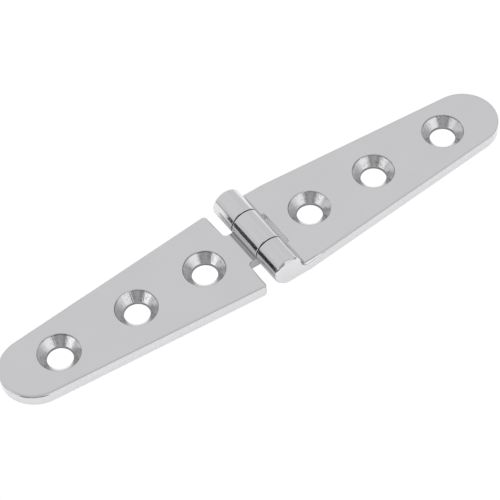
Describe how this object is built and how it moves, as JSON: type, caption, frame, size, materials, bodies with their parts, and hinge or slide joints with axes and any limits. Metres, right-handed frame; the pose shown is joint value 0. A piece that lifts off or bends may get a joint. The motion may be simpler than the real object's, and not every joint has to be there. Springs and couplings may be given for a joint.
{
  "type": "strap hinge",
  "caption": "Flat strap hinge in polished steel: a forked leaf and a tongue leaf, both tapered with round tips and countersunk screw holes, turning on a hidden pin.",
  "frame": {"origin": "in the plane of the leaves' backs, below the middle of the hinge pin, with the hinge open flat", "axes": "+X along the fork leaf, away from the pin; +Y along the pin; +Z out of the front, where the screw heads sit"},
  "size_m": [0.1524, 0.0288, 0.0084],
  "materials": {
    "polished_steel": "mirror-polished stainless steel",
    "pin_steel": "ground stainless steel"
  },
  "bodies": {
    "fork": {"fork_leaf": "polished_steel", "hinge_pin": "pin_steel"},
    "tongue": {"tongue_leaf": "polished_steel"}
  },
  "joints": [
    {"name": "leaf_swing", "type": "hinge", "parent": "fork", "child": "tongue", "pos_m": [0, 0, 0.0042], "axis": [0, 1, 0], "range_deg": [-105, 180]}
  ]
}
